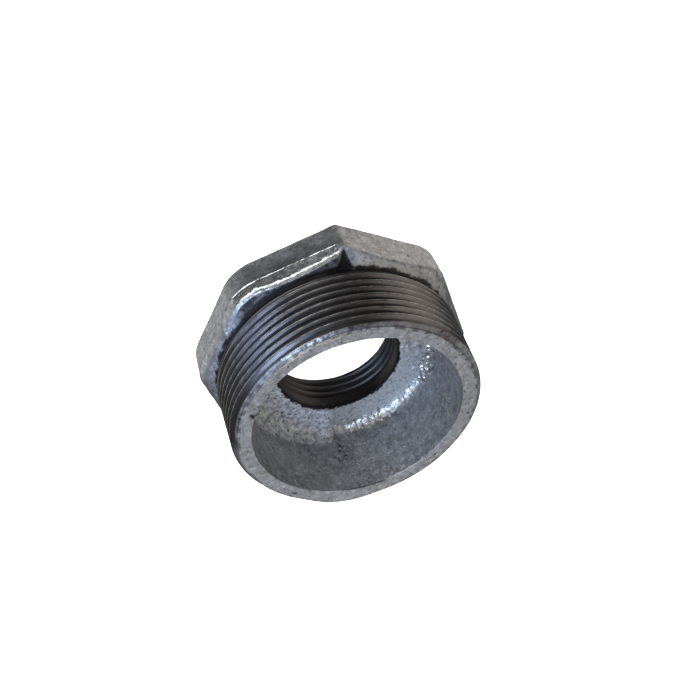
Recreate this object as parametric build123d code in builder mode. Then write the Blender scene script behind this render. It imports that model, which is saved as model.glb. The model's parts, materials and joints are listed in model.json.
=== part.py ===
"""Threaded reducing bushing, 2 in male x 1 in female, with an eight-sided wrench head.

One malleable-iron casting. The origin is at the centre of the head's end face, +Z runs along
the common axis of both threads towards the male end, and flats of the head face +X and +Y.
Millimetres.
"""

import math
import os

from build123d import *

# Overall
TOTAL_LENGTH = 29.8
ACROSS_FLATS = 63.2
HEAD_SIDES = 8

# Head
HEAD_HEIGHT = 11.0
CORNER_RADIUS = 5.0
END_EDGE_RADIUS = 0.7
SHOULDER_BEVEL_HEIGHT = 3.6
SHOULDER_BEVEL_DEPTH = 1.1
SHOULDER_CONE_RADIUS = 29.8  # where the coned shoulder reaches the head's full height
SHOULDER_CONE_DROP = 0.5  # fall of the shoulder for each millimetre outwards

# Tapered pipe threads: 60 degree form, 11.5 to the inch, taper 1 in 16 on the diameter
PITCH = 25.4 / 11.5
RADIUS_TAPER = 1 / 32
FLANK_ANGLE = 30
ROOT_FLAT = 0.06
ADDENDUM = 0.85  # from the pitch line to a crest, and to a root
MALE_PITCH_RADIUS = 28.816  # at the small end
MALE_START_ANGLE = 180
FEMALE_PITCH_RADIUS = 15.731  # at the head's end face
FEMALE_START_ANGLE = 97

# Male thread
SHANK_LEAD = 0.3  # uncut shank between the head and the thread
MALE_END_RADIUS = 27.6
MALE_END_CHAMFER = 0.9  # along the axis

# Female bore
BORE_RADIUS = 15.2
WEB_HEIGHT = 10.5  # from the head's end face to the floor of the hollow
BORE_LAND = 2.2  # plain bore past the thread
BORE_ENTRY_CHAMFER = 0.3
BORE_WEB_CHAMFER = 0.3

# Hollow male end
MOUTH_RADIUS = 24.9
HOLLOW_DRAFT = 1.5
HOLLOW_FILLET = 3.5

# Machining
END_STOCK = 3 * PITCH  # shank left over-long until its thread is cut
CUTTER_PROUD = 0.1  # how far a thread cutter stands out past the crests
TURNING_MARGIN = 3.0  # how far a turning cut reaches past the stock


def male_radius(height, offset):
    """Radius of the male thread's cone at a height, off its pitch line by an offset."""
    return MALE_PITCH_RADIUS + (TOTAL_LENGTH - height) * RADIUS_TAPER + offset


def female_radius(height, offset):
    """Radius of the female thread's cone at a height, off its pitch line by an offset."""
    return FEMALE_PITCH_RADIUS - height * RADIUS_TAPER + offset


def cut_groove(root_radius, open_radius, start, end, start_angle):
    """Cut a right-hand V groove that winds up the axis and closes in with the thread's taper."""
    half_root = ROOT_FLAT / 2
    half_opening = half_root + abs(open_radius - root_radius) * math.tan(math.radians(FLANK_ANGLE))
    path = Helix(
        pitch=PITCH,
        height=end - start,
        radius=root_radius,
        center=(0, 0, start),
        cone_angle=-math.degrees(math.atan(RADIUS_TAPER)),
        mode=Mode.PRIVATE,
    )
    axis_line = Edge.make_line((0, 0, start), (0, 0, end))
    with BuildSketch(Plane.XZ, mode=Mode.PRIVATE) as groove:
        with BuildLine():
            Polyline(
                (root_radius, start - half_root),
                (open_radius, start - half_opening),
                (open_radius, start + half_opening),
                (root_radius, start + half_root),
                close=True,
            )
        make_face()
    sweep(
        groove.sketch.rotate(Axis.Z, start_angle),
        path=path.rotate(Axis.Z, start_angle),
        binormal=axis_line,
        mode=Mode.SUBTRACT,
    )


os.makedirs("parts", exist_ok=True)

with BuildPart() as reducer_casting:
    # Wrench head, bevelled towards the shank
    with BuildSketch() as head_outline:
        RegularPolygon(ACROSS_FLATS / 2, HEAD_SIDES, major_radius=False, rotation=180 / HEAD_SIDES)
        fillet(head_outline.vertices(), CORNER_RADIUS)
    extrude(amount=HEAD_HEIGHT)
    shoulder = reducer_casting.faces().sort_by(Axis.Z)[-1]
    chamfer(shoulder.edges(), SHOULDER_BEVEL_DEPTH, SHOULDER_BEVEL_HEIGHT, reference=shoulder)
    end_face = reducer_casting.faces().sort_by(Axis.Z)[0]
    fillet(end_face.edges(), END_EDGE_RADIUS)

    # Shoulder turned to a cone, so that it falls away most at the corners
    cone_edge = ACROSS_FLATS / 2 + TURNING_MARGIN
    cone_foot = HEAD_HEIGHT - (cone_edge - SHOULDER_CONE_RADIUS) * SHOULDER_CONE_DROP
    with BuildSketch(Plane.XZ):
        with BuildLine():
            Polyline(
                (SHOULDER_CONE_RADIUS, HEAD_HEIGHT),
                (cone_edge, cone_foot),
                (cone_edge, HEAD_HEIGHT + TURNING_MARGIN),
                (SHOULDER_CONE_RADIUS, HEAD_HEIGHT + TURNING_MARGIN),
                close=True,
            )
        make_face()
    revolve(axis=Axis.Z, mode=Mode.SUBTRACT)

    # Shank, left over-long so that its thread runs out through the stock
    shank_foot = HEAD_HEIGHT - SHOULDER_BEVEL_DEPTH
    stock_top = TOTAL_LENGTH + END_STOCK
    with BuildSketch(Plane.XZ):
        with BuildLine():
            Polyline(
                (0, shank_foot),
                (male_radius(shank_foot, ADDENDUM), shank_foot),
                (male_radius(stock_top, ADDENDUM), stock_top),
                (0, stock_top),
                close=True,
            )
        make_face()
    revolve(axis=Axis.Z)

    # Male thread
    male_start = HEAD_HEIGHT + SHANK_LEAD + PITCH / 2
    cut_groove(
        root_radius=male_radius(male_start, -ADDENDUM),
        open_radius=male_radius(male_start, ADDENDUM + CUTTER_PROUD),
        start=male_start,
        end=TOTAL_LENGTH + PITCH,
        start_angle=MALE_START_ANGLE,
    )

    # Face the male end to length and chamfer its thread
    chamfer_foot = TOTAL_LENGTH - MALE_END_CHAMFER
    chamfer_foot_radius = male_radius(chamfer_foot, ADDENDUM)
    chamfer_slope = MALE_END_CHAMFER / (chamfer_foot_radius - MALE_END_RADIUS)
    with BuildSketch(Plane.XZ):
        with BuildLine():
            Polyline(
                (0, TOTAL_LENGTH),
                (MALE_END_RADIUS, TOTAL_LENGTH),
                (chamfer_foot_radius + TURNING_MARGIN, chamfer_foot - TURNING_MARGIN * chamfer_slope),
                (chamfer_foot_radius + TURNING_MARGIN, stock_top + TURNING_MARGIN),
                (0, stock_top + TURNING_MARGIN),
                close=True,
            )
        make_face()
    revolve(axis=Axis.Z, mode=Mode.SUBTRACT)

    # Bore through the web, and the drafted hollow above it
    hollow_foot_radius = MOUTH_RADIUS - (TOTAL_LENGTH - WEB_HEIGHT) * math.tan(math.radians(HOLLOW_DRAFT))
    with BuildSketch(Plane.XZ) as hollow_profile:
        with BuildLine():
            Polyline(
                (0, 0),
                (BORE_RADIUS + BORE_ENTRY_CHAMFER, 0),
                (BORE_RADIUS, BORE_ENTRY_CHAMFER),
                (BORE_RADIUS, WEB_HEIGHT - BORE_WEB_CHAMFER),
                (BORE_RADIUS + BORE_WEB_CHAMFER, WEB_HEIGHT),
                (hollow_foot_radius, WEB_HEIGHT),
                (MOUTH_RADIUS, TOTAL_LENGTH),
                (0, TOTAL_LENGTH),
                close=True,
            )
        make_face()
        hollow_foot = hollow_profile.vertices().sort_by_distance((hollow_foot_radius, WEB_HEIGHT))[0]
        fillet(hollow_foot, HOLLOW_FILLET)
    revolve(axis=Axis.Z, mode=Mode.SUBTRACT)

    # Female thread, cut from the head's end face
    female_start = -PITCH
    cut_groove(
        root_radius=female_radius(female_start, ADDENDUM),
        open_radius=BORE_RADIUS - CUTTER_PROUD,
        start=female_start,
        end=WEB_HEIGHT - BORE_LAND - PITCH / 2,
        start_angle=FEMALE_START_ANGLE,
    )

reducer_casting.part.label = "reducer_casting"
export_step(reducer_casting.part, "parts/reducer_casting.step")
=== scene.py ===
"""Looks of a galvanised reducing bushing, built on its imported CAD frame.

The bushing stands on its head: +Z is the common axis of both threads, from the wrench head to
the male end. Shapes are worked out in millimetres and written to the mesh in metres. Angles
round the axis are in degrees, from +X towards +Y.
"""

import json
import math

import bpy
import numpy as np
from mathutils import Matrix, Vector


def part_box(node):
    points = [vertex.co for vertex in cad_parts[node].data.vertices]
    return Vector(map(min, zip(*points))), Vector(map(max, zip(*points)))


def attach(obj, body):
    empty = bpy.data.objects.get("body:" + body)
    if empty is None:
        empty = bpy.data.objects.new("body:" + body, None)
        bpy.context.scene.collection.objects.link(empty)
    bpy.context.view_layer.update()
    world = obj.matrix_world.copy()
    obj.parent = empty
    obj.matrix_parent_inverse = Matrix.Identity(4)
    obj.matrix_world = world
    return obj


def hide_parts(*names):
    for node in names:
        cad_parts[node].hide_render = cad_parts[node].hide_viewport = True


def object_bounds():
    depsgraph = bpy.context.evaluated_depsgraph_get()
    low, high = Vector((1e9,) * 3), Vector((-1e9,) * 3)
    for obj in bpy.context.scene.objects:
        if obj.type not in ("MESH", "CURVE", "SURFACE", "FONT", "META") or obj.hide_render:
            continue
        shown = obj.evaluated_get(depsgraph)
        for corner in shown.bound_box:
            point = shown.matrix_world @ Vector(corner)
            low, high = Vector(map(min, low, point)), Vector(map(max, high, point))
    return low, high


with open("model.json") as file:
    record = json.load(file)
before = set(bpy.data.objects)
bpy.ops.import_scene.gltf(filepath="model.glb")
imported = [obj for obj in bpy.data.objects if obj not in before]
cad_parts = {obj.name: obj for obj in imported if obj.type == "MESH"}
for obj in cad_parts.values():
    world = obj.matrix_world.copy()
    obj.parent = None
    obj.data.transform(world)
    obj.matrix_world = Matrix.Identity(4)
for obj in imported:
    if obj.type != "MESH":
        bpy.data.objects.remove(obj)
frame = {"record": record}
cad_low, cad_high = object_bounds()

NODE = "reducer_casting"
MM = 0.001

# ---------------------------------------------------------------------------------------------
# Driving sizes: the overall ones from the frame, the others as in the CAD or seen in the photo
#
# A stretch round the axis is given as its start angle, its end angle and its fade.
# ---------------------------------------------------------------------------------------------
node_low, node_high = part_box(NODE)
mounts = {mount["name"]: mount for mount in frame["record"]["mounts"]}

LENGTH = (node_high.z - node_low.z) / MM
FLAT_RADIUS = (node_high.x - node_low.x) / 2 / MM
BORE_RADIUS = mounts["female_thread"]["dims"]["r_mm"]
CREST_RADIUS = mounts["male_thread"]["dims"]["r_mm"]

PITCH = 25.4 / 11.5
TAPER = 1 / 32
FLANK_SLOPE = 1 / math.tan(math.radians(30))

# Wrench head
HEAD_HEIGHT = 11.0
FLAT_HALF_ANGLE = 22.5
END_EDGE = 0.7
BEVEL_FOOT = 7.0
BEVEL_DEPTH = 0.5
BEVEL_END_TILT = 18
ROLL_RADIUS = 1.8  # between the bevel and the coned shoulder
SQUARE_ROLL_RADIUS = 0.8  # on the flat that has no bevel
SHOULDER_TILT = 65
BEAD_REACH = 0.6  # how far below the bevel the close rows of the bead begin
CORNER_RADII = {22.5: 5, 67.5: 5, 112.5: 5, 157.5: 5, 202.5: 10, 247.5: 1.3, 292.5: 12, 337.5: 10}

BEAD_HALF = 0.22  # half height of the bead of zinc along the bevel's foot
BEVEL_CREASE = 0.2  # share of the bevel with the closest rows, next to the bead
SQUARE_FLAT = (203.0, 249.5, 2.0)  # the flat with hardly any bevel
SQUARE_FLAT_LOSS = 0.9  # share of the bevel that it lacks

LEDGE_COAT_RADIUS = 29.9  # zinc covers the shoulder outside this
NOTCH_ANGLE = 247.5
NOTCH_APEX_RADIUS = 33.3
NOTCH_SPREAD = 0.46  # half the notch's width for each millimetre inwards

# Male thread
THREAD_DEPTH = 1.5
CREST_HALF = 0.12
MALE_CREST_HEIGHT = 27.2  # of one crest, at MALE_CREST_ANGLE
MALE_CREST_ANGLE = 254.5
NECK_RADIUS = 29.2
NECK_TOP = 11.9
NECK_BLEND = 0.7
NEAR_RIM = (190, 345, 40)
END_RADIUS = 27.7  # of the end face, along the near rim
FAR_END_RADIUS = 28.2
DRIP = (50, 74, 20)
DRIP_REACH = 0.8  # how far a drip of zinc carries the end face outwards
END_CHAMFER_SLOPE = 2.3
RIM_EDGE = 0.2

# Hollow male end
MOUTH_RADIUS = 24.9
HOLLOW_DRAFT = 1.5
WEB_HEIGHT = 10.5
FILLET_RADIUS = 2.6
CRUST_FILLET = (-15, 66, 12)
CRUST_FILLET_EXTRA = 1.5
WRINKLED_FILLET = (150, 260, 40)
WRINKLED_FILLET_EXTRA = 0.5

# Female thread
FEMALE_DEPTH = 1.25
FEMALE_CREST_HEIGHT = 1.03
FEMALE_CREST_ANGLE = 85
LAND_FOOT = 7.3
LAND_BLEND = 0.6
ENTRY_RADIUS = 15.5
ENTRY_SLOPE = 1.0
ENTRY_TOP = 0.12
BORE_EDGE = 0.3

COLUMNS = 720
SNAP = 0.03  # a helix point this near a ring falls on it
angles = np.arange(COLUMNS) * 360 / COLUMNS
turn_share = np.arange(COLUMNS) / COLUMNS

# ---------------------------------------------------------------------------------------------
# Blends, random surfaces and stretches round the axis
# ---------------------------------------------------------------------------------------------
LATTICE = 48


def smooth_step(low, high, value):
    """0 below low, 1 above high and a smooth rise between them."""
    share = np.clip((value - low) / (high - low), 0, 1)
    return share * share * (3 - 2 * share)


def mix(first, second, share):
    """A value part way from the first to the second."""
    return first + (second - first) * share


def noise(points, size, seed):
    """Smooth random values from -1 to 1 at an array of points, with features of one size."""
    lattice = np.random.default_rng(seed).uniform(-1, 1, (LATTICE,) * 3)
    place = points / size
    cell = np.floor(place).astype(int)
    share = place - cell
    share = share * share * (3 - 2 * share)
    total = 0
    for step in np.ndindex(2, 2, 2):
        corner = (cell + step) % LATTICE
        weight = np.prod(np.where(step, share, 1 - share), axis=-1)
        total = total + weight * lattice[corner[..., 0], corner[..., 1], corner[..., 2]]
    return total


def layered_noise(points, size, seed, layers=3):
    """Noise of one size with finer, fainter noise on it."""
    return sum(noise(points, size / 2**layer, seed + layer) / 2**layer for layer in range(layers))


def angle_between(angle, centre):
    """Signed angle from a centre, from -180 to 180."""
    return (angle - centre + 180) % 360 - 180


def window(angle, start, end, fade):
    """1 from a start angle to an end angle, fading to 0 outside."""
    centre = (start + end) / 2
    half = (end - start) / 2
    return 1 - smooth_step(half - fade / 2, half + fade / 2, abs(angle_between(angle, centre)))


# ---------------------------------------------------------------------------------------------
# The casting's radii
# ---------------------------------------------------------------------------------------------


def head_radius(angle):
    """Radius of the eight-sided head, each corner rounded with its own radius."""
    flat_angle = angle_between(angle, np.round(angle / 45) * 45)
    radius = FLAT_RADIUS / np.cos(np.radians(flat_angle))
    for corner, rounding in CORNER_RADII.items():
        offset = angle_between(angle, corner)
        tangent = (FLAT_RADIUS - rounding) * math.tan(math.radians(FLAT_HALF_ANGLE))
        reach = FLAT_HALF_ANGLE - math.degrees(math.atan(tangent / FLAT_RADIUS))
        centre = (FLAT_RADIUS - rounding) / math.cos(math.radians(FLAT_HALF_ANGLE))
        across = centre * np.sin(np.radians(offset))
        arc = centre * np.cos(np.radians(offset)) + np.sqrt(np.clip(rounding**2 - across**2, 0, None))
        radius = np.where(abs(offset) < reach, arc, radius)
    return radius


def bevel_share(angle):
    """How much of the shoulder bevel each flat has: one flat is left nearly square."""
    return 1 - SQUARE_FLAT_LOSS * window(angle, *SQUARE_FLAT)


def thread_depth(height, angle, crest_height, crest_angle, full_depth):
    """Depth below the crests of a right-hand 60 degree thread with flat crests."""
    crest = crest_height + PITCH * angle_between(angle, crest_angle) / 360
    along = abs((height - crest + PITCH / 2) % PITCH - PITCH / 2)
    return np.clip((along - CREST_HALF) * FLANK_SLOPE, 0, full_depth)


def male_crest(height):
    """Radius of the cone that carries the male crests."""
    return CREST_RADIUS + (LENGTH - height) * TAPER


def end_chamfer(height, angle):
    """Radius of the chamfer at the male end: narrower on one side, and least at a drip of zinc."""
    rim_radius = mix(FAR_END_RADIUS, END_RADIUS, window(angle, *NEAR_RIM))
    rim_radius = rim_radius + DRIP_REACH * window(angle, *DRIP)
    return rim_radius + (LENGTH - height) * END_CHAMFER_SLOPE


def male_thread(height, angle):
    """Radius of the threaded shank, with a narrow neck under the head."""
    depth = thread_depth(height, angle, MALE_CREST_HEIGHT, MALE_CREST_ANGLE, THREAD_DEPTH)
    threaded = male_crest(height) - depth
    share = smooth_step(NECK_TOP, NECK_TOP + NECK_BLEND, height)
    return NECK_RADIUS + (threaded - NECK_RADIUS) * share


def male_radius(height, angle):
    """Radius of the shank: thread, neck and end chamfer."""
    return np.minimum(male_thread(height, angle), end_chamfer(height, angle))


def female_thread(height, angle):
    """Radius of the tapped bore, with a plain land towards the hollow."""
    depth = thread_depth(height, angle, FEMALE_CREST_HEIGHT, FEMALE_CREST_ANGLE, FEMALE_DEPTH)
    return BORE_RADIUS + depth * (1 - smooth_step(LAND_FOOT - LAND_BLEND, LAND_FOOT, height))


def female_radius(height, angle):
    """Radius of the bore: thread, land and entry chamfer."""
    return np.maximum(female_thread(height, angle), ENTRY_RADIUS - height * ENTRY_SLOPE)


def wall_radius(height):
    """Radius of the hollow's drafted wall."""
    return MOUTH_RADIUS - (LENGTH - height) * math.tan(math.radians(HOLLOW_DRAFT))


def fillet_radius(angle):
    """Fillet between web and wall: fuller where the crust and the wrinkles are."""
    crust_extra = CRUST_FILLET_EXTRA * window(angle, *CRUST_FILLET)
    return FILLET_RADIUS + crust_extra + WRINKLED_FILLET_EXTRA * window(angle, *WRINKLED_FILLET)


# ---------------------------------------------------------------------------------------------
# The surface, row by row
# ---------------------------------------------------------------------------------------------
REGIONS = ["end_face", "flat", "bevel", "ledge", "male", "rim"]
REGIONS += ["wall", "fillet", "web", "land", "female"]


class Surface:
    """Rows of points round the axis. Each row is joined to the row before it."""

    def __init__(self):
        self.radii = []
        self.heights = []
        self.angles = []
        self.regions = []
        self.rows = []
        self.count = 0

    def add_points(self, radius, height, angle, region):
        """Add points and return their numbers."""
        radius, height, angle = np.broadcast_arrays(radius, height, angle)
        self.radii.append(radius)
        self.heights.append(height)
        self.angles.append(angle)
        self.regions.append(np.full(len(radius), REGIONS.index(region)))
        numbers = np.arange(self.count, self.count + len(radius))
        self.count += len(radius)
        return numbers

    def add_ring(self, radius, height, region):
        """Add one closed row, a point in every column."""
        numbers = self.add_points(radius, height, angles, region)
        self.rows.append(np.append(numbers, numbers[0]))

    def add_helix_band(self, shares, start, end, radius_at, region):
        """Add rows that wind with a thread from one height to another, rising or falling.

        shares are the rows' places within one pitch. Points past either end fall on that end's
        ring, so the band closes on two flat rings.
        """
        rising = 1 if end > start else -1
        turns = abs(end - start) / PITCH
        first = self.rows[-1][:-1]
        last = self.add_points(radius_at(end, angles), end, angles, region)
        per_pitch = len(shares)
        steps = [share + whole for whole in range(int(turns) + 3) for share in shares]
        steps = [step for step in steps if step < turns + 1 + 1 / per_pitch]
        numbered = []
        for step in steps:
            if rising > 0:
                height = start + (step - 1 + turn_share) * PITCH
            else:
                height = start - (step - turn_share) * PITCH
            travel = (height - start) * rising
            inside = (travel > SNAP) & (travel < abs(end - start) - SNAP)
            row = np.where(travel <= SNAP, first, last)
            height = height[inside]
            around = angles[inside]
            row[inside] = self.add_points(radius_at(height, around), height, around, region)
            numbered.append(row)
        for place, row in enumerate(numbered):
            partner = place + rising * per_pitch
            if partner < 0:
                seam = first[0]
            elif partner >= len(numbered):
                seam = last[0]
            else:
                seam = numbered[partner][0]
            self.rows.append(np.append(row, seam))
        self.rows.append(np.append(last, last[0]))

    def faces(self):
        """Corner numbers of every face, with the corners that fall together dropped."""
        found = []
        for row, following in zip(self.rows, self.rows[1:] + self.rows[:1]):
            quads = np.stack([row[:-1], row[1:], following[1:], following[:-1]], axis=1)
            for quad in quads.tolist():
                face = [corner for place, corner in enumerate(quad) if corner != quad[place - 1]]
                if len(face) > 2 and len(set(face)) == len(face):
                    found.append(face)
        return found


def shares_between(count):
    """Evenly spaced shares of a stretch, without its start and with its end."""
    return np.arange(1, count + 1) / count


def thread_shares(start, crest_height, crest_angle, rising):
    """Places of a thread's rows within one pitch: at its crests, flanks and roots."""
    half = PITCH / 2
    rows = np.array([-half, -0.92, -0.66, -0.4, -CREST_HALF - 0.04, -CREST_HALF + 0.03, 0])
    rows = np.append(rows, -rows[1:-1][::-1])
    crest = crest_height + PITCH * angle_between(0, crest_angle) / 360
    return sorted((((crest + rows) - start) * rising / PITCH) % 1)


def lay_head_flats(surface, fine, head):
    """The head's end face, its rounded edge and its flats, up to the bevel's foot."""
    surface.add_ring(ENTRY_RADIUS, 0, "end_face")
    for share in shares_between(14 * fine):
        surface.add_ring(mix(ENTRY_RADIUS, head - END_EDGE, share), 0, "end_face")
    for share in shares_between(5):
        bend = math.radians(90 * share)
        radius = head - END_EDGE * (1 - math.sin(bend))
        surface.add_ring(radius, END_EDGE * (1 - math.cos(bend)), "flat")
    for share in shares_between(10 * fine):
        surface.add_ring(head, mix(END_EDGE, BEVEL_FOOT - BEAD_REACH, share), "flat")
    for share in shares_between(4 * fine):
        surface.add_ring(head, mix(BEVEL_FOOT - BEAD_REACH, BEVEL_FOOT, share), "flat")


def lay_shoulder(surface, fine, head):
    """The bevel, the roll over its top and the coned shoulder, in to the thread's neck."""
    neck = male_radius(HEAD_HEIGHT, angles)
    depth = BEVEL_DEPTH * bevel_share(angles)
    roll = mix(SQUARE_ROLL_RADIUS, ROLL_RADIUS, bevel_share(angles))
    start_bend = math.radians(BEVEL_END_TILT)
    end_bend = math.radians(SHOULDER_TILT)
    shoulder = head - depth - roll * (math.cos(start_bend) - math.cos(end_bend))
    shoulder_height = HEAD_HEIGHT - (shoulder - neck) / math.tan(end_bend)
    bevel_top = shoulder_height - roll * (math.sin(end_bend) - math.sin(start_bend))
    creased = BEVEL_CREASE * shares_between(4 * fine)
    open_part = mix(BEVEL_CREASE, 1, shares_between(6 * fine))
    for share in np.append(creased, open_part):
        radius = head - depth * (0.55 * share + 0.45 * share**3)
        surface.add_ring(radius, mix(BEVEL_FOOT, bevel_top, share), "bevel")
    for share in shares_between(5 * fine):
        bend = mix(start_bend, end_bend, share)
        radius = head - depth - roll * (math.cos(start_bend) - math.cos(bend))
        surface.add_ring(radius, bevel_top + roll * (math.sin(bend) - math.sin(start_bend)), "bevel")
    for share in shares_between(6 * fine):
        surface.add_ring(mix(shoulder, neck, share), mix(shoulder_height, HEAD_HEIGHT, share), "ledge")


def lay_male_end(surface, fine):
    """The threaded shank, and the flat rim with its two rounded edges."""
    rows = thread_shares(HEAD_HEIGHT, MALE_CREST_HEIGHT, MALE_CREST_ANGLE, 1)
    surface.add_helix_band(rows, HEAD_HEIGHT, LENGTH - RIM_EDGE, male_radius, "male")

    rim_outer = end_chamfer(LENGTH - RIM_EDGE, angles)
    for share in shares_between(3):
        bend = math.radians(90 * share)
        radius = rim_outer - RIM_EDGE * (1 - math.cos(bend))
        surface.add_ring(radius, LENGTH - RIM_EDGE * (1 - math.sin(bend)), "rim")
    for share in shares_between(8 * fine):
        surface.add_ring(mix(rim_outer - RIM_EDGE, MOUTH_RADIUS + RIM_EDGE, share), LENGTH, "rim")
    for share in shares_between(3):
        bend = math.radians(90 * share)
        radius = MOUTH_RADIUS + RIM_EDGE * (1 - math.sin(bend))
        surface.add_ring(radius, LENGTH - RIM_EDGE * (1 - math.cos(bend)), "rim")


def lay_hollow(surface, fine):
    """The drafted wall, the fillet and the web's floor, in to the bore's edge."""
    fillet = fillet_radius(angles)
    for share in shares_between(30 * fine):
        height = mix(LENGTH - RIM_EDGE, WEB_HEIGHT + fillet, share)
        surface.add_ring(wall_radius(height), height, "wall")
    for share in shares_between(12 * fine):
        bend = math.radians(90 * share)
        foot = wall_radius(WEB_HEIGHT + fillet)
        radius = foot - fillet * (1 - math.cos(bend))
        surface.add_ring(radius, WEB_HEIGHT + fillet * (1 - math.sin(bend)), "fillet")
    inner = wall_radius(WEB_HEIGHT + fillet) - fillet
    for share in shares_between(16 * fine):
        surface.add_ring(mix(inner, BORE_RADIUS + BORE_EDGE, share), WEB_HEIGHT, "web")


def lay_bore(surface, fine):
    """The bore's edge, its plain land and its thread, out to the end face."""
    for share in shares_between(3):
        bend = math.radians(90 * share)
        radius = BORE_RADIUS + BORE_EDGE * (1 - math.sin(bend))
        surface.add_ring(radius, WEB_HEIGHT - BORE_EDGE * (1 - math.cos(bend)), "land")
    for share in shares_between(5 * fine):
        surface.add_ring(BORE_RADIUS, mix(WEB_HEIGHT - BORE_EDGE, LAND_FOOT, share), "land")
    rows = thread_shares(LAND_FOOT, FEMALE_CREST_HEIGHT, FEMALE_CREST_ANGLE, -1)
    surface.add_helix_band(rows, LAND_FOOT, ENTRY_TOP, female_radius, "female")


def build_surface():
    """Lay the casting's rows, from the bore's mouth round the outside and back."""
    surface = Surface()
    fine = 2
    head = head_radius(angles)
    lay_head_flats(surface, fine, head)
    lay_shoulder(surface, fine, head)
    lay_male_end(surface, fine)
    lay_hollow(surface, fine)
    lay_bore(surface, fine)
    return surface


# ---------------------------------------------------------------------------------------------
# Cast skin, zinc and wear
#
# Lifts are in millimetres along the surface's normal, and the other values go from 0 to 1.
# ---------------------------------------------------------------------------------------------
SHINY_BEVEL = (244, 298, 12)
# Stretch of painted shade on one flat.
PAINTED_SHADE_FLAT = (250, 292, 8)
# Stretch of painted shade on the shoulder under the bevel.
PAINTED_SHADE_LEDGE = (246, 300, 10)
PALE_LEDGE = (190, 245, 8)
NEAR_THREAD = (200, 345, 10)
BARE_CHAMFER = (200, 258, 12)
SHINY_RIM = (258, 292, 12)
DARK_MOUTH_EDGE = (62, 88, 8)
# Stretch of the wall with more painted glints and finer grain.
SPARKLING_WALL = (74, 186, 20)
CRUST = (-40, 66, 8)
CRUST_FOOT_HEIGHT = 3.9  # above the web, where the crust begins to thin out on the wall
CRUST_TOP_HEIGHT = 4.4
TOOTHED_FILLET = (70, 165, 14)
TOOTH_WIDTH = 0.45
FILLET_MID_RADIUS = 23
WRINKLED_WEB = (138, 215, 16)
PARTING_ANGLE = 67.5
PARTING_WANDER = 1.2
PARTING_FOOT_HEIGHT = 20  # the parting line fades out from here up to its top
PARTING_TOP_HEIGHT = 24
PIT_CLUSTER_ANGLE = 68.0
PIT_CLUSTER_SPREAD = 3.5
PIT_CLUSTER_HEIGHTS = (13.5, 21.5)
SPECK_ANGLE = 125
SPECK_SPREAD = 55


class Skin:
    """What is laid over the smooth form: lift along the normals, and values for the material.

    bare: zinc cut away. The crest value: lighter crests, partly wear and partly painted highlight.
    The dark value: dark dirt, and painted shade in the neck, the thread roots, the notch, under the
    bevel, on one flat and round the bore's edge. crust: matt rough zinc. shine: thick smooth zinc.
    The pale value: lighter zinc, painted light on the web's floor and painted highlight on the bevel
    and on the wall's specks. The glint value: painted glints, bright specks in the colour. All go from
    0 to 1.
    """

    values = ("bare", "worn", "grime", "crust", "shine", "pale", "sparkle")

    def __init__(self, count):
        self.lift = np.zeros(count)
        for name in self.values:
            setattr(self, name, np.zeros(count))

    def add_pits(self, points, candidates, count, sizes, depth, seed):
        """Round dark pits at random places among the candidate points."""
        chance = np.random.default_rng(seed)
        place = points[candidates]
        centres = place[chance.integers(len(place), size=count)]
        for centre, size in zip(centres, chance.uniform(*sizes, count)):
            self.add_pit(place, candidates, centre, size, depth)

    def add_pit(self, place, candidates, centre, size, depth):
        """One round dark pit."""
        distance = np.linalg.norm(place - centre, axis=1)
        near = distance < 2 * size
        share = np.exp(-((distance[near] / size) ** 2) * 1.5)
        chosen = candidates[near]
        self.lift[chosen] -= depth * size * share
        self.grime[chosen] = np.maximum(self.grime[chosen], smooth_step(0.25, 0.7, share))

    def add_specks(self, points, candidates, count, sizes, rise, seed):
        """Small shiny raised specks at random places among the candidate points, lightened as painted
        glints.
        """
        chance = np.random.default_rng(seed)
        place = points[candidates]
        centres = place[chance.integers(len(place), size=count)]
        for centre, size in zip(centres, chance.uniform(*sizes, count)):
            share = np.exp(-((np.linalg.norm(place - centre, axis=1) / size) ** 2) * 1.5)
            chosen = candidates[share > 0.05]
            share = share[share > 0.05]
            self.lift[chosen] += rise * size * share
            self.shine[chosen] = np.maximum(self.shine[chosen], share)
            # Painted glint: the speck's colour lightened.
            self.pale[chosen] = np.maximum(self.pale[chosen], share)


def sculpt(points, radius, height, angle, region):
    """Work out the skin over the whole casting."""
    where = {name: region == REGIONS.index(name) for name in REGIONS}
    skin = Skin(len(points))
    swell = layered_noise(points, 9, 11)
    lumps = layered_noise(points, 2.2, 21)
    grain = layered_noise(points, 0.8, 31, 2)
    ragged = layered_noise(points, 1.1, 41)
    sculpt_head(skin, where, height, angle, swell, lumps, grain, ragged)
    sculpt_ledge(skin, where, radius, angle, ragged)
    sculpt_male_thread(skin, where, radius, height, angle, lumps, ragged)
    sculpt_bore(skin, where, radius, height, ragged)
    sculpt_rim(skin, where, radius, angle, swell, lumps, ragged)
    sculpt_hollow(skin, where, points, radius, height, angle, swell, lumps, grain, ragged)
    add_all_pits(skin, where, points, height, angle)
    return skin


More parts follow.
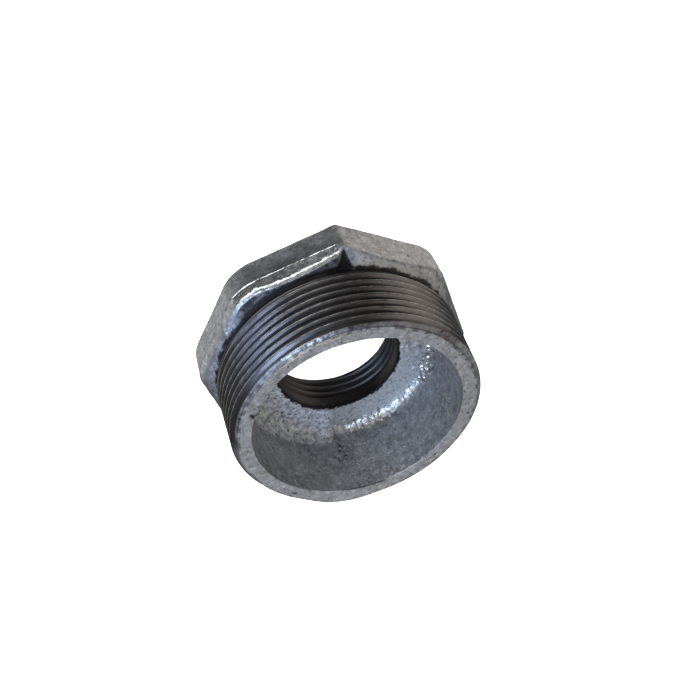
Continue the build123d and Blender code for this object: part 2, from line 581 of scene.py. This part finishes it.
def sculpt_head(skin, where, height, angle, swell, lumps, grain, ragged):
    """Wavy cast flats, one darkened with painted shade, and a bevel with a bead of zinc at its foot
    and one shiny run, lightened and glinting as a painted highlight.
    """
    outside = where["flat"] | where["bevel"] | where["end_face"]
    skin.lift += outside * (0.07 * swell + 0.04 * lumps + 0.025 * grain - 0.1)
    has_bevel = smooth_step(0.5, 0.9, bevel_share(angle))
    bevelled = where["bevel"] * has_bevel
    bright_run = bevelled * window(angle, *SHINY_BEVEL)
    skin.shine += mix(0.25 * bevelled, 1, bright_run)
    skin.lift += bevelled * (0.03 * lumps + 0.03 * ragged)
    # Painted highlight: the shiny run's colour lightened, with painted glints.
    skin.pale += bright_run * 0.35
    skin.sparkle += bright_run * 0.6
    bead = np.exp(-(((height - BEVEL_FOOT) / BEAD_HALF) ** 2)) * has_bevel
    skin.lift += (where["flat"] | where["bevel"]) * bead * (0.14 + 0.06 * ragged)
    # Painted glints along the bead.
    skin.sparkle += (where["flat"] | where["bevel"]) * bead * 0.8
    # Painted shade: this flat darkened, more towards the bevel.
    skin.grime += where["flat"] * window(angle, *PAINTED_SHADE_FLAT) * smooth_step(1.0, 6.5, height) * 0.4


def sculpt_ledge(skin, where, radius, angle, ragged):
    """The shoulder, bared next to the thread and in the notch at one corner, with painted shade in the
    neck, in the notch and under the bevel.
    """
    neck = smooth_step(0.3, -0.3, radius - LEDGE_COAT_RADIUS + 0.5 * ragged)
    across = radius * np.sin(np.radians(angle_between(angle, NOTCH_ANGLE)))
    half_width = (NOTCH_APEX_RADIUS - radius) * NOTCH_SPREAD
    facing = abs(angle_between(angle, NOTCH_ANGLE)) < 45
    notch = facing * smooth_step(0.3, -0.3, abs(across) - half_width)
    bared = where["ledge"] * np.maximum(neck, notch)
    skin.bare += bared
    # Painted shade: the bared neck and the notch darkened, the notch to black.
    skin.grime += bared * (0.75 + 0.25 * notch)
    # Painted shade: the shoulder under the bevel darkened.
    skin.grime += where["ledge"] * window(angle, *PAINTED_SHADE_LEDGE) * (0.8 + 0.3 * ragged)
    skin.pale += where["ledge"] * window(angle, *PALE_LEDGE) * 0.6
    skin.lift += where["ledge"] * (0.08 * ragged - 0.4 * notch)


def sculpt_male_thread(skin, where, radius, height, angle, lumps, ragged):
    """Bare cut thread with lighter crests, painted shade in its neck and roots, and zinc on its
    chamfer.
    """
    male = where["male"]
    chamfer = end_chamfer(height, angle)
    cut = chamfer > male_crest(height)
    groove = smooth_step(-0.05, 0.1, chamfer - radius + 0.1 * ragged)
    near_side = window(angle, *NEAR_THREAD)
    near_rim = smooth_step(2.2, 1.2, LENGTH - height)
    skin.bare += male * groove * (1 - near_rim * (1 - near_side))
    skin.bare += male * (1 - groove) * 0.45 * window(angle, *BARE_CHAMFER)
    bright_run = male * (1 - groove) * window(angle, *SHINY_RIM)
    skin.shine += bright_run
    skin.lift += bright_run * (0.05 * lumps + 0.05 * ragged)
    crest = smooth_step(0.1, 0.0, male_crest(height) - radius)
    # Crests lightened: partly wear, partly a painted highlight.
    skin.worn += male * crest * cut * (0.6 + 0.5 * ragged)
    skin.lift += male * (0.008 * lumps - 0.03)
    # Painted shade: the thread's neck under the head and its roots darkened.
    neck = smooth_step(NECK_TOP + NECK_BLEND, NECK_TOP - 0.3, height)
    skin.grime += male * neck * 0.7
    root = smooth_step(THREAD_DEPTH - 0.35, THREAD_DEPTH, male_crest(height) - radius)
    skin.grime += male * root * 0.5


def sculpt_bore(skin, where, radius, height, ragged):
    """Bare dark bore, lighter crests on its thread, and painted shade round its edge and under the
    web's lip.
    """
    bore = where["female"] | where["land"]
    skin.bare += bore
    skin.grime += bore * 0.6
    # Painted shade: a dark ragged line in the crevice at the bore's edge and under the web's lip.
    edge = smooth_step(1.0, 0.35, WEB_HEIGHT - height + 0.5 * ragged) * bore
    skin.grime += edge
    skin.grime += where["land"] * 0.3
    skin.lift += where["land"] * 0.05 * ragged
    lip = where["web"] * smooth_step(BORE_RADIUS + 0.7, BORE_RADIUS + 0.35, radius + 0.5 * ragged)
    skin.grime += lip
    skin.bare += lip
    # Crests of the bore's thread lightened: partly wear, partly a painted highlight.
    worn = smooth_step(0.12, 0.0, radius - BORE_RADIUS)
    skin.worn += where["female"] * worn * 0.35 * smooth_step(LAND_FOOT, LAND_FOOT - 1, height)


def sculpt_rim(skin, where, radius, angle, swell, lumps, ragged):
    """The flat end: slightly wavy, darker in broken lines along its edges and in smudges, with one
    shiny run.
    """
    rim = where["rim"]
    skin.lift += rim * (0.03 * swell + 0.03 * lumps - 0.05)
    edge = end_chamfer(LENGTH, angle)
    skin.grime += rim * smooth_step(0.25, 0.1, edge - radius) * smooth_step(-0.1, 0.3, ragged) * 0.6
    skin.grime += rim * smooth_step(0.45, 1.1, lumps) * 0.35
    inner = smooth_step(MOUTH_RADIUS + 0.4, MOUTH_RADIUS + 0.15, radius + 0.2 * ragged)
    skin.grime += rim * inner * window(angle, *DARK_MOUTH_EDGE) * 0.8
    run = rim * window(angle, *SHINY_RIM) * smooth_step(1.0, 0.4, edge - radius + 0.3 * ragged)
    skin.shine += run
    skin.lift += run * (0.05 * lumps + 0.04 * ragged - 0.03)


def sculpt_hollow(skin, where, points, radius, height, angle, swell, lumps, grain, ragged):
    """The smoother wall, the crust, the toothed fillet, the wrinkled web and the parting line, with
    painted glints on the wall and fillet and painted light on the web's floor.
    """
    skin.lift += where["wall"] * (0.05 * swell + 0.035 * lumps + 0.02 * grain)
    sparkling = window(angle, *SPARKLING_WALL)
    skin.lift += where["wall"] * sparkling * 0.04 * grain
    # Painted glints on the wall, most on its sparkling stretch.
    skin.sparkle += where["wall"] * (0.25 + 0.75 * sparkling)

    inside = where["web"] | where["fillet"]
    floor_reach = height - WEB_HEIGHT
    crust = window(angle, *CRUST)
    below_top = smooth_step(CRUST_TOP_HEIGHT, CRUST_FOOT_HEIGHT, floor_reach + 0.5 * ragged)
    crusted = (where["wall"] | inside) * (below_top * crust)
    skin.crust += crusted
    skin.lift += crusted * (0.28 + 0.14 * lumps + 0.10 * grain)

    plain = inside * (1 - crust)
    skin.lift += plain * (0.08 * lumps + 0.05 * grain)
    # Painted light: the web's floor lightened, fading out up the fillet.
    skin.pale += plain * smooth_step(2.8, 1.0, floor_reach)
    along = angle * math.pi / 180 * FILLET_MID_RADIUS / TOOTH_WIDTH
    toothed = np.stack([along, radius / 2.0, height / 2.0], axis=1)
    teeth = layered_noise(toothed, 1, 51, 2)
    ridge = where["fillet"] * window(angle, *TOOTHED_FILLET)
    skin.lift += ridge * (0.10 * teeth + 0.08 * lumps + 0.06 * grain)
    skin.shine += ridge * 0.75
    # Painted glints along the toothed fillet.
    skin.sparkle += ridge
    wrinkled = inside * window(angle, *WRINKLED_WEB)
    folds = 1 - 2 * abs(layered_noise(points, 2.0, 61, 2))
    skin.lift += wrinkled * 0.16 * folds
    skin.shine += wrinkled * 0.4

    parting = np.exp(-(angle_between(angle, PARTING_ANGLE + PARTING_WANDER * ragged) ** 2))
    below_end = smooth_step(PARTING_TOP_HEIGHT, PARTING_FOOT_HEIGHT, height)
    skin.lift -= (inside | where["wall"]) * parting * 0.10 * below_end
    skin.grime += inside * parting * (0.2 + 0.5 * smooth_step(0.3, 2.0, floor_reach))


# Single pits on the rim: angle, radius from the axis, size
RIM_MARKS = [
    (34.0, 27.2, 0.4),
    (35.2, 27.1, 0.5),
    (190.0, 25.4, 0.35),
    (323.0, 25.2, 0.8),
    (322.0, 25.9, 0.5),
    (150.0, 27.4, 0.4),
    (118.0, 26.6, 0.4),
]
# Single pits on the hollow's wall: angle, height, size
WALL_MARKS = [
    (65.4, 20.4, 0.35),
    (69.3, 19.0, 0.4),
    (67.6, 17.8, 0.3),
    (68.3, 15.7, 0.5),
    (69.4, 16.3, 0.35),
]


def place_round_axis(angle, radius, height):
    """The point at an angle, a radius and a height."""
    turn = math.radians(angle)
    return (radius * math.cos(turn), radius * math.sin(turn), height)


def add_all_pits(skin, where, points, height, angle):
    """Casting pits: many in the crust, a few elsewhere, and a cluster near the parting line."""
    inside = where["web"] | where["fillet"]
    crusted = np.flatnonzero(skin.crust > 0.8)
    skin.add_pits(points, crusted, 80, (0.18, 0.42), 1.0, 71)
    skin.add_pits(points, np.flatnonzero(inside & (skin.crust < 0.5)), 60, (0.1, 0.25), 0.8, 72)
    skin.add_pits(points, np.flatnonzero(where["wall"]), 60, (0.1, 0.22), 0.6, 73)
    skin.add_pits(points, np.flatnonzero(where["rim"]), 40, (0.15, 0.35), 0.5, 74)
    skin.add_pits(points, np.flatnonzero(where["flat"]), 90, (0.15, 0.35), 0.4, 75)
    # Specks on the wall, lightened as painted glints.
    sparkling = where["wall"] & (abs(angle_between(angle, SPECK_ANGLE)) < SPECK_SPREAD)
    skin.add_specks(points, np.flatnonzero(sparkling), 130, (0.15, 0.32), 0.6, 77)
    rim = np.flatnonzero(where["rim"])
    for mark_angle, mark_radius, size in RIM_MARKS:
        centre = place_round_axis(mark_angle, mark_radius, LENGTH)
        skin.add_pit(points[rim], rim, centre, size, 0.6)
    wall = np.flatnonzero(where["wall"])
    for mark_angle, mark_height, size in WALL_MARKS:
        centre = place_round_axis(mark_angle, wall_radius(mark_height), mark_height)
        skin.add_pit(points[wall], wall, centre, size, 0.9)
    near_seam = abs(angle_between(angle, PIT_CLUSTER_ANGLE)) < PIT_CLUSTER_SPREAD
    cluster_foot, cluster_top = PIT_CLUSTER_HEIGHTS
    cluster = where["wall"] & near_seam & (height > cluster_foot) & (height < cluster_top)
    skin.add_pits(points, np.flatnonzero(cluster), 14, (0.2, 0.45), 1.0, 76)


def add_values(mesh, name, values):
    """Keep one number for each point of a mesh, for its material to read."""
    layer = mesh.attributes.new(name, "FLOAT", "POINT")
    layer.data.foreach_set("value", values.astype(np.float32))


def make_casting():
    """The bushing's visible skin, one closed mesh."""
    surface = build_surface()
    radius = np.concatenate(surface.radii)
    height = np.concatenate(surface.heights)
    angle = np.concatenate(surface.angles)
    region = np.concatenate(surface.regions)
    around = np.radians(angle)
    points = np.stack([radius * np.cos(around), radius * np.sin(around), height], axis=1)

    mesh = bpy.data.meshes.new("reducer_casting_skin")
    mesh.from_pydata((points * MM).tolist(), [], surface.faces())
    mesh.polygons.foreach_set("use_smooth", np.ones(len(mesh.polygons), bool))
    mesh.update()
    normals = np.zeros(len(points) * 3, np.float32)
    mesh.vertex_normals.foreach_get("vector", normals)
    normals = normals.reshape(-1, 3)

    skin = sculpt(points, radius, height, angle, region)
    points = points + normals * skin.lift[:, None]
    low = np.array(cad_low) / MM
    high = np.array(cad_high) / MM
    points = points.clip(low, high)
    mesh.vertices.foreach_set("co", (points * MM).astype(np.float32).ravel())
    for name in skin.values:
        add_values(mesh, name, getattr(skin, name).clip(0, 1))
    mesh.update()
    casting = bpy.data.objects.new("reducer_casting_skin", mesh)
    bpy.context.scene.collection.objects.link(casting)
    return casting


# ---------------------------------------------------------------------------------------------
# Materials
# ---------------------------------------------------------------------------------------------


class Nodes:
    """A short way to write a material's node tree."""

    def __init__(self, name):
        self.material = bpy.data.materials.new(name)
        self.material.use_nodes = True
        self.tree = self.material.node_tree
        self.shader = self.tree.nodes["Principled BSDF"]
        coordinates = self.tree.nodes.new("ShaderNodeTexCoord")
        self.place = coordinates.outputs["Object"]

    def link(self, source, socket):
        """Join an output, or set a plain value, on an input."""
        if isinstance(source, bpy.types.NodeSocket):
            self.tree.links.new(source, socket)
        else:
            socket.default_value = source

    def stretched(self, scale):
        """The object's coordinates, scaled by axis."""
        node = self.tree.nodes.new("ShaderNodeMapping")
        node.inputs["Scale"].default_value = scale
        self.link(self.place, node.inputs["Vector"])
        return node.outputs["Vector"]

    def noise(self, size, detail=3, roughness=0.5, place=None):
        """Noise with features of a size in metres."""
        node = self.tree.nodes.new("ShaderNodeTexNoise")
        node.inputs["Scale"].default_value = 1 / size
        node.inputs["Detail"].default_value = detail
        node.inputs["Roughness"].default_value = roughness
        self.link(place or self.place, node.inputs["Vector"])
        return node.outputs["Fac"]

    def cells(self, size):
        """Distance to the middle of random cells of a size in metres."""
        node = self.tree.nodes.new("ShaderNodeTexVoronoi")
        node.inputs["Scale"].default_value = 1 / size
        self.link(self.place, node.inputs["Vector"])
        return node.outputs["Distance"]

    def value(self, name):
        """A number kept with the mesh's points."""
        node = self.tree.nodes.new("ShaderNodeAttribute")
        node.attribute_name = name
        return node.outputs["Fac"]

    def ranged(self, source, low, high, to_low, to_high):
        """Map a range of values to another, with its ends held."""
        node = self.tree.nodes.new("ShaderNodeMapRange")
        self.link(source, node.inputs["Value"])
        for socket, number in zip(node.inputs[1:5], (low, high, to_low, to_high)):
            socket.default_value = number
        return node.outputs["Result"]

    def maths(self, operation, first, second):
        """One operation on two values."""
        node = self.tree.nodes.new("ShaderNodeMath")
        node.operation = operation
        self.link(first, node.inputs[0])
        self.link(second, node.inputs[1])
        return node.outputs["Value"]

    def colour_mix(self, share, first, second):
        """A colour part way from the first to the second."""
        node = self.tree.nodes.new("ShaderNodeMix")
        node.data_type = "RGBA"
        self.link(share, node.inputs["Factor"])
        self.link(first, node.inputs[6])
        self.link(second, node.inputs[7])
        return node.outputs[2]

    def value_mix(self, share, first, second):
        """A number part way from the first to the second."""
        node = self.tree.nodes.new("ShaderNodeMix")
        self.link(share, node.inputs[0])
        self.link(first, node.inputs[2])
        self.link(second, node.inputs[3])
        return node.outputs[0]

    def bump(self, height, distance, strength=1.0, normal=None):
        """A bump of a depth in metres."""
        node = self.tree.nodes.new("ShaderNodeBump")
        node.inputs["Distance"].default_value = distance
        self.link(strength, node.inputs["Strength"])
        self.link(height, node.inputs["Height"])
        if normal:
            self.link(normal, node.inputs["Normal"])
        return node.outputs["Normal"]


DULL_ZINC = (0.32, 0.32, 0.32, 1)
BRIGHT_ZINC = (0.54, 0.54, 0.54, 1)
PALE_ZINC = (0.86, 0.83, 0.77, 1)
DARK_PATCH = (0.16, 0.16, 0.16, 1)
LIGHT_PATCH = (0.80, 0.80, 0.79, 1)
CRUST_SHADED_HOLLOW = (0.36, 0.36, 0.35, 1)
CRUST_LIT_TOP = (0.95, 0.95, 0.93, 1)
PAINTED_SPECK_GLINT = (0.9, 0.9, 0.88, 1)
DARK_SPECK = (0.08, 0.08, 0.08, 1)
PINHOLE = (0.03, 0.03, 0.03, 1)
PAINTED_GLINT_WHITE = (1.0, 1.0, 0.95, 1)
DARK_IRON = (0.065, 0.06, 0.06, 1)
LIGHT_IRON = (0.195, 0.185, 0.18, 1)
BROWN_BLOTCH = (0.10, 0.08, 0.07, 1)
WORN_AND_HIGHLIT_IRON = (0.58, 0.56, 0.52, 1)
DARK_DIRT_AND_SHADE = (0.02, 0.02, 0.02, 1)


def zinc_colour(nodes, laid, mottle, crumb, glint_specks):
    """Mottled grey zinc with patches and dark specks, light specks and bright specks painted as
    glints, and a pinholed pale crust with painted shade in its hollows and painted light on its tops.
    """
    patch = nodes.noise(1.3 * MM, 4, 0.65)
    speck = nodes.noise(0.45 * MM, 3, 0.6)
    zinc = nodes.colour_mix(nodes.ranged(mottle, 0.3, 0.7, 0, 1), DULL_ZINC, BRIGHT_ZINC)
    zinc = nodes.colour_mix(nodes.maths("MULTIPLY", laid["pale"], 0.7), zinc, PALE_ZINC)
    zinc = nodes.colour_mix(nodes.ranged(patch, 0.48, 0.30, 0, 0.7), zinc, DARK_PATCH)
    zinc = nodes.colour_mix(nodes.ranged(patch, 0.56, 0.70, 0, 0.7), zinc, LIGHT_PATCH)
    # Painted shade in the crumbs' hollows and painted light on their tops, following the crumb bump.
    crusty = nodes.colour_mix(nodes.ranged(crumb, 0.35, 0.62, 0, 1), CRUST_SHADED_HOLLOW, CRUST_LIT_TOP)
    zinc = nodes.colour_mix(nodes.maths("MULTIPLY", laid["crust"], 0.9), zinc, crusty)
    # Painted glints: light specks over the zinc.
    zinc = nodes.colour_mix(nodes.ranged(speck, 0.60, 0.70, 0, 0.6), zinc, PAINTED_SPECK_GLINT)
    zinc = nodes.colour_mix(nodes.ranged(speck, 0.38, 0.28, 0, 0.5), zinc, DARK_SPECK)
    pinholes = nodes.ranged(nodes.cells(1.7 * MM), 0.17, 0.10, 0, 0.9)
    zinc = nodes.colour_mix(nodes.maths("MULTIPLY", pinholes, laid["crust"]), zinc, PINHOLE)
    # Painted glints: bright specks in the colour.
    return nodes.colour_mix(glint_specks, zinc, PAINTED_GLINT_WHITE)


def iron_colour(nodes, laid, turned):
    """Dark cut iron with fine turning lines and brown blotches, lighter on the crests, partly from
    wear and partly as a painted highlight.
    """
    blotch = nodes.noise(4.0 * MM, 3, 0.5)
    iron = nodes.colour_mix(turned, DARK_IRON, LIGHT_IRON)
    iron = nodes.colour_mix(nodes.ranged(blotch, 0.45, 0.7, 0, 0.4), iron, BROWN_BLOTCH)
    return nodes.colour_mix(nodes.maths("MULTIPLY", laid["worn"], 0.75), iron, WORN_AND_HIGHLIT_IRON)


def skin_roughness(nodes, laid, mottle, turned, glint_specks):
    """Smoother on thick zinc, cut iron and painted glints; rougher on the crust and where dirt and
    painted shade darken it.
    """
    zinc_rough = nodes.ranged(mottle, 0.3, 0.7, 0.42, 0.58)
    zinc_rough = nodes.value_mix(laid["shine"], zinc_rough, 0.2)
    zinc_rough = nodes.value_mix(laid["crust"], zinc_rough, 0.62)
    zinc_rough = nodes.value_mix(glint_specks, zinc_rough, 0.2)
    iron_rough = nodes.ranged(turned, 0.3, 0.7, 0.22, 0.34)
    roughness = nodes.value_mix(laid["bare"], zinc_rough, iron_rough)
    return nodes.value_mix(nodes.maths("MULTIPLY", laid["grime"], 0.8), roughness, 0.55)


def skin_bumps(nodes, laid, crumb, turned, glint_specks):
    """Grain finer than the mesh: cast grain, crumbs on the crust, the glint specks and turning lines.
    """
    cut_smooth = nodes.maths("MULTIPLY", laid["bare"], 0.95)
    zinc_smooth = nodes.maths("MULTIPLY", laid["shine"], 0.75)
    coarse = nodes.maths("SUBTRACT", 1, nodes.maths("MAXIMUM", cut_smooth, zinc_smooth))
    normal = nodes.bump(nodes.noise(0.4 * MM, 4, 0.65), 0.14 * MM, coarse)
    normal = nodes.bump(crumb, 0.35 * MM, laid["crust"], normal)
    normal = nodes.bump(glint_specks, 0.12 * MM, 1.0, normal)
    return nodes.bump(turned, 0.02 * MM, laid["bare"], normal)


def galvanised_iron():
    """Mottled zinc on cast iron, and dark bare iron where threads were cut through it."""
    nodes = Nodes("galvanised_iron")
    laid = {name: nodes.value(name) for name in Skin.values}
    mottle = nodes.noise(3.0 * MM, 4, 0.6)
    crumb = nodes.noise(1.2 * MM, 4, 0.6)
    # Where painted glints go: bright specks, also smoother and bumped.
    glint_specks = nodes.ranged(nodes.noise(0.4 * MM, 2, 0.7), 0.62, 0.67, 0, 1)
    glint_specks = nodes.maths("MULTIPLY", glint_specks, laid["sparkle"])
    turned = nodes.noise(0.25 * MM, 3, 0.6, nodes.stretched((0.02, 0.02, 1)))

    zinc = zinc_colour(nodes, laid, mottle, crumb, glint_specks)
    colour = nodes.colour_mix(laid["bare"], zinc, iron_colour(nodes, laid, turned))
    # Dark dirt, and painted shade in recesses, darken the colour towards black.
    colour = nodes.colour_mix(nodes.maths("MULTIPLY", laid["grime"], 0.92), colour, DARK_DIRT_AND_SHADE)
    roughness = skin_roughness(nodes, laid, mottle, turned, glint_specks)
    nodes.link(colour, nodes.shader.inputs["Base Color"])
    nodes.link(roughness, nodes.shader.inputs["Roughness"])
    nodes.link(nodes.ranged(laid["crust"], 0, 1, 1.0, 0.45), nodes.shader.inputs["Metallic"])
    nodes.link(skin_bumps(nodes, laid, crumb, turned, glint_specks), nodes.shader.inputs["Normal"])
    return nodes.material


# ---------------------------------------------------------------------------------------------
# Stage, light and camera
# ---------------------------------------------------------------------------------------------
FLOOR_HEIGHT = -0.30
FLOOR_HALF = 4.0
FLOOR_WASH_HEIGHT = -0.08  # below the bushing, so that it lights the floor only
WORLD_COLOUR = (0.93, 0.96, 1.0, 1)
WORLD_STRENGTH = 0.17


def make_floor():
    """A plain pale floor, well below the bushing."""
    mesh = bpy.data.meshes.new("floor")
    half = FLOOR_HALF
    corners = [(-half, -half, 0), (half, -half, 0), (half, half, 0), (-half, half, 0)]
    mesh.from_pydata(corners, [], [(0, 1, 2, 3)])
    floor = bpy.data.objects.new("floor", mesh)
    floor.location.z = FLOOR_HEIGHT
    bpy.context.scene.collection.objects.link(floor)
    material = bpy.data.materials.new("floor")
    material.use_nodes = True
    shader = material.node_tree.nodes["Principled BSDF"]
    shader.inputs["Base Color"].default_value = (0.92, 0.92, 0.92, 1)
    shader.inputs["Roughness"].default_value = 0.9
    shader.inputs["Specular IOR Level"].default_value = 0.1
    mesh.materials.append(material)
    floor.visible_diffuse = False
    floor.visible_glossy = False


def add_softbox(name, direction, distance, size, radiance, colour=(1, 1, 1)):
    """A rectangular light that faces the bushing from a direction."""
    lamp = bpy.data.lights.new(name, "AREA")
    lamp.shape = "RECTANGLE"
    lamp.size, lamp.size_y = size
    lamp.energy = radiance * math.pi * size[0] * size[1]
    lamp.color = colour
    light = bpy.data.objects.new(name, lamp)
    light.location = Vector(direction).normalized() * distance + Vector((0, 0, LENGTH / 2 * MM))
    light.rotation_euler = Vector(direction).to_track_quat("Z", "Y").to_euler()
    light.visible_camera = False
    bpy.context.scene.collection.objects.link(light)
    return light


WINDOW = (0.86, 0.93, 1.0)
BLUE = (0.48, 0.65, 1.0)
WARM = (1.0, 0.92, 0.85)
NEUTRAL = (1.0, 0.99, 0.97)


def make_lights():
    """Soft light from a window side, a weaker warm side, and a wash on the floor."""
    add_softbox("window_light", (0.28, -0.92, 0.28), 0.6, (0.60, 0.2), 4.4, WINDOW)
    add_softbox("upper_window_light", (0.35, -0.15, 0.92), 0.6, (0.22, 0.22), 9.0, BLUE)
    add_softbox("side_window_light", (0.72, -0.45, 0.53), 0.6, (0.3, 0.3), 2.6, BLUE)
    add_softbox("front_light", (-0.05, -0.62, 0.78), 0.6, (0.4, 0.25), 0.5, NEUTRAL)
    add_softbox("warm_side_light", (-0.68, 0.1, 0.72), 0.6, (0.3, 0.4), 1.0, WARM)
    add_softbox("low_left_light", (0.80, 0.0, -0.50), 0.45, (0.4, 0.4), 0.75, NEUTRAL)
    add_softbox("low_right_light", (-0.80, 0.0, -0.50), 0.45, (0.4, 0.4), 1.1, WARM)
    add_softbox("low_front_light", (-0.2, -0.65, -0.45), 0.45, (0.25, 0.2), 0.35, NEUTRAL)
    add_softbox("back_light", (0.1, 0.75, 0.65), 0.7, (0.6, 0.5), 0.8, NEUTRAL)
    wash = add_softbox("floor_wash", (0, 0, 1), 0.1, (8.0, 8.0), 2.0)
    wash.location.z = FLOOR_WASH_HEIGHT
    world = bpy.data.worlds.new("studio")
    world.use_nodes = True
    background = world.node_tree.nodes["Background"]
    background.inputs["Color"].default_value = WORLD_COLOUR
    background.inputs["Strength"].default_value = WORLD_STRENGTH
    bpy.context.scene.world = world


CAMERA_PLACE = (-0.01467, -0.16082, 0.16459)
CAMERA_HEADING = -3.87
CAMERA_TILT = 45.82
CAMERA_ROLL = 158.72
CAMERA_LENS = 47.15
CAMERA_SENSOR = 36
CAMERA_CLIP_START = 0.01


def make_camera():
    """The camera looks down into the hollow male end, rolled so that the head is uppermost."""
    data = bpy.data.cameras.new("camera")
    data.lens = CAMERA_LENS
    data.sensor_width = CAMERA_SENSOR
    data.clip_start = CAMERA_CLIP_START
    camera = bpy.data.objects.new("camera", data)
    turn = (
        Matrix.Rotation(math.radians(CAMERA_HEADING), 4, "Z")
        @ Matrix.Rotation(math.radians(CAMERA_TILT), 4, "X")
        @ Matrix.Rotation(math.radians(CAMERA_ROLL), 4, "Z")
    )
    camera.matrix_world = Matrix.Translation(CAMERA_PLACE) @ turn
    bpy.context.scene.collection.objects.link(camera)
    bpy.context.scene.camera = camera


# ---------------------------------------------------------------------------------------------
# The scene
# ---------------------------------------------------------------------------------------------
make_camera()
make_lights()
make_floor()
casting = make_casting()
casting.data.materials.append(galvanised_iron())
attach(casting, "root")
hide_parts(NODE)
bpy.context.scene.view_settings.view_transform = "Standard"
